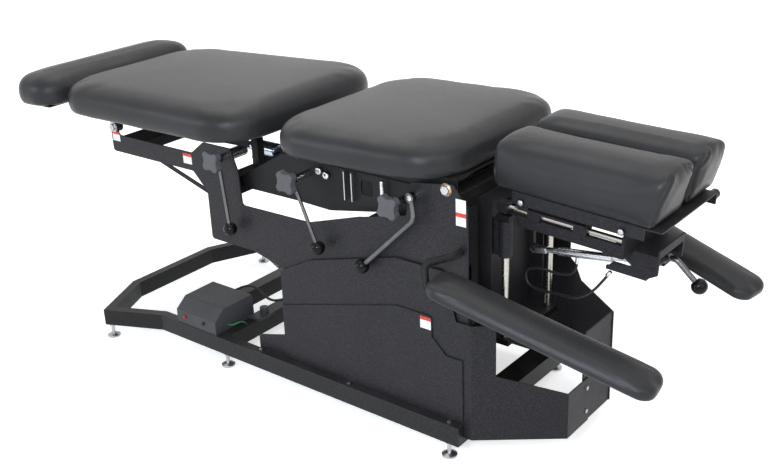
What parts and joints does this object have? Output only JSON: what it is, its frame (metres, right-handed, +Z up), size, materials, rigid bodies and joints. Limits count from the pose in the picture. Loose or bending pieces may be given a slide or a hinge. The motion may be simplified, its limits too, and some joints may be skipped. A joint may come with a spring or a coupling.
{
  "type": "chiropractic drop table",
  "caption": "Height-adjustable treatment table with dropping leg, chest and head sections, split head pillows, sliding ankle rest, armrests and side levers on a steel base.",
  "frame": {"origin": "on the floor under the middle of the table's outline", "axes": "+X towards the head end along the table, +Y to the far side, +Z up"},
  "size_m": [1.9651, 0.7326, 0.7449],
  "materials": {
    "frame_coat": "fine-textured black powder coat",
    "rail_coat": "fine-textured black powder coat",
    "vinyl": "dark grey satin vinyl",
    "chromed": "polished chrome",
    "zinc": "bright zinc plate",
    "lock_steel": "plain ground steel",
    "canister_metal": "glossy blue-grey finish",
    "knob_plastic": "moulded mid grey",
    "ball_plastic": "polished black",
    "pack_plastic": "moulded dark grey",
    "cable_rubber": "black sheath",
    "earth_green": "green sheath"
  },
  "bodies": {
    "base": {"base_frame": "rail_coat", "levelling_feet": "zinc", "near_side_sheet": "frame_coat", "far_side_sheet": "frame_coat", "near_cover_panel": "frame_coat", "base_screws": "zinc", "outer_column": "frame_coat", "actuator_barrel": "frame_coat", "power_pack_lid": "pack_plastic", "power_pack_tray": "pack_plastic", "supply_cable": "cable_rubber", "earth_wire": "earth_green"},
    "lift": {"inner_column": "zinc", "actuator_rod": "chromed", "near_upper_plate": "frame_coat", "far_upper_plate": "frame_coat", "mechanism_plates": "frame_coat", "cross_tubes": "frame_coat", "leg_struts": "frame_coat", "arm_stay": "frame_coat", "hinge_bolts": "zinc", "air_canister": "canister_metal", "control_spindles": "zinc", "spring_housings": "zinc", "head_column_plate": "frame_coat", "guide_tubes": "frame_coat"},
    "leg_section": {"leg_cushion": "vinyl", "leg_pan": "frame_coat", "ankle_sleeves": "frame_coat"},
    "ankle_rest": {"ankle_cushion": "vinyl", "ankle_bracket": "frame_coat"},
    "thoracic_section": {"thoracic_cushion": "vinyl", "thoracic_pan": "frame_coat"},
    "pelvic_lever": {"pelvic_lever": "chromed", "pelvic_lever_ball": "ball_plastic"},
    "thoracic_lever": {"thoracic_lever": "chromed", "thoracic_lever_ball": "ball_plastic"},
    "breakaway_lever": {"breakaway_lever": "frame_coat", "breakaway_lever_ball": "ball_plastic"},
    "pelvic_knob": {"pelvic_tension_knob": "knob_plastic"},
    "thoracic_knob": {"thoracic_tension_knob": "knob_plastic"},
    "breakaway_knob": {"breakaway_tension_knob": "knob_plastic"},
    "head_carriage": {"guide_rods": "chromed", "carriage_blocks": "frame_coat"},
    "head_tilt": {"tilt_frame": "frame_coat", "slide_rods": "chromed"},
    "head_slide": {"slide_carriage": "frame_coat"},
    "cervical_section": {"cervical_pan": "frame_coat"},
    "near_pillow": {"near_head_pillow": "vinyl"},
    "far_pillow": {"far_head_pillow": "vinyl"},
    "pillow_knob": {"pillow_lock_knob": "ball_plastic"},
    "head_lever": {"head_lever": "chromed", "head_lever_ball": "ball_plastic"},
    "lock_barrel": {"tilt_lock_barrel": "lock_steel", "tilt_lock_cable": "cable_rubber"},
    "lock_rod": {"tilt_lock_rod": "lock_steel"},
    "near_armrest": {"near_armrest_tube": "frame_coat", "near_armrest_pad": "vinyl"},
    "far_armrest": {"far_armrest_tube": "frame_coat", "far_armrest_pad": "vinyl"}
  },
  "joints": [
    {"name": "lift", "type": "slide", "parent": "base", "child": "lift", "axis": [0, 0, 1], "range_m": [-0.12, 0]},
    {"name": "leg_drop", "type": "hinge", "parent": "lift", "child": "leg_section", "pos_m": [-0.603, 0, 0.599], "axis": [0, 1, 0], "range_deg": [0, 1.3]},
    {"name": "ankle_slide", "type": "slide", "parent": "leg_section", "child": "ankle_rest", "axis": [-0.9996, 0, -0.0279], "range_m": [0, 0.1]},
    {"name": "thoracic_drop", "type": "hinge", "parent": "lift", "child": "thoracic_section", "pos_m": [0.48, 0, 0.637], "axis": [0, -1, 0], "range_deg": [0, 1.5]},
    {"name": "pelvic_lever_swing", "type": "hinge", "parent": "lift", "child": "pelvic_lever", "pos_m": [-0.173, -0.25, 0.594], "axis": [0, 1, 0], "range_deg": [-30, 30]},
    {"name": "thoracic_lever_swing", "type": "hinge", "parent": "lift", "child": "thoracic_lever", "pos_m": [0.07, -0.25, 0.588], "axis": [0, 1, 0], "range_deg": [-25, 25]},
    {"name": "breakaway_lever_swing", "type": "hinge", "parent": "lift", "child": "breakaway_lever", "pos_m": [0.408, -0.25, 0.614], "axis": [0, 1, 0], "range_deg": [-20, 5]},
    {"name": "pelvic_knob_turn", "type": "hinge", "parent": "lift", "child": "pelvic_knob", "pos_m": [-0.173, -0.27, 0.594], "axis": [0, 1, 0], "continuous": true},
    {"name": "thoracic_knob_turn", "type": "hinge", "parent": "lift", "child": "thoracic_knob", "pos_m": [0.07, -0.27, 0.588], "axis": [0, 1, 0], "continuous": true},
    {"name": "breakaway_knob_turn", "type": "hinge", "parent": "lift", "child": "breakaway_knob", "pos_m": [0.364, -0.27, 0.59], "axis": [0, 1, 0], "continuous": true},
    {"name": "head_height", "type": "slide", "parent": "lift", "child": "head_carriage", "axis": [0, 0, 1], "range_m": [0, 0.09]},
    {"name": "head_tilt", "type": "hinge", "parent": "head_carriage", "child": "head_tilt", "pos_m": [0.544, 0, 0.574], "axis": [0, 1, 0], "range_deg": [-10, 10]},
    {"name": "head_extension", "type": "slide", "parent": "head_tilt", "child": "head_slide", "axis": [0.9982, 0, -0.0593], "range_m": [0, 0.055]},
    {"name": "cervical_drop", "type": "hinge", "parent": "head_slide", "child": "cervical_section", "pos_m": [0.60397, 0, 0.6055], "axis": [0, 1, 0], "range_deg": [0, 1.5]},
    {"name": "near_pillow_spread", "type": "slide", "parent": "cervical_section", "child": "near_pillow", "axis": [0, -1, 0], "range_m": [0, 0.025]},
    {"name": "far_pillow_spread", "type": "slide", "parent": "cervical_section", "child": "far_pillow", "axis": [0, 1, 0], "range_m": [0, 0.025]},
    {"name": "pillow_knob_turn", "type": "hinge", "parent": "cervical_section", "child": "pillow_knob", "pos_m": [0.89981, 0.14, 0.59393], "axis": [0, 1, 0], "continuous": true},
    {"name": "head_lever_swing", "type": "hinge", "parent": "head_tilt", "child": "head_lever", "pos_m": [0.85795, 0.02, 0.48803], "axis": [0, 1, 0], "range_deg": [-20, 10]},
    {"name": "lock_pivot", "type": "hinge", "parent": "head_carriage", "child": "lock_barrel", "pos_m": [0.56, 0, 0.443], "axis": [0, 1, 0], "range_deg": [-12, 12]},
    {"name": "lock_stroke", "type": "slide", "parent": "lock_barrel", "child": "lock_rod", "axis": [0.9923, 0, 0.124], "range_m": [-0.028, 0.028]},
    {"name": "near_armrest_tilt", "type": "hinge", "parent": "lift", "child": "near_armrest", "pos_m": [0.514, -0.22, 0.505], "axis": [0, 1, 0], "range_deg": [-20, 10]},
    {"name": "far_armrest_tilt", "type": "hinge", "parent": "lift", "child": "far_armrest", "pos_m": [0.514, 0.22, 0.505], "axis": [0, 1, 0], "range_deg": [-20, 10]}
  ],
  "couplings": [
    {"joint": "lock_pivot", "follows": "head_tilt", "ratio": 0.99864},
    {"joint": "lock_stroke", "follows": "head_tilt", "m_per_rad": -0.13197}
  ]
}
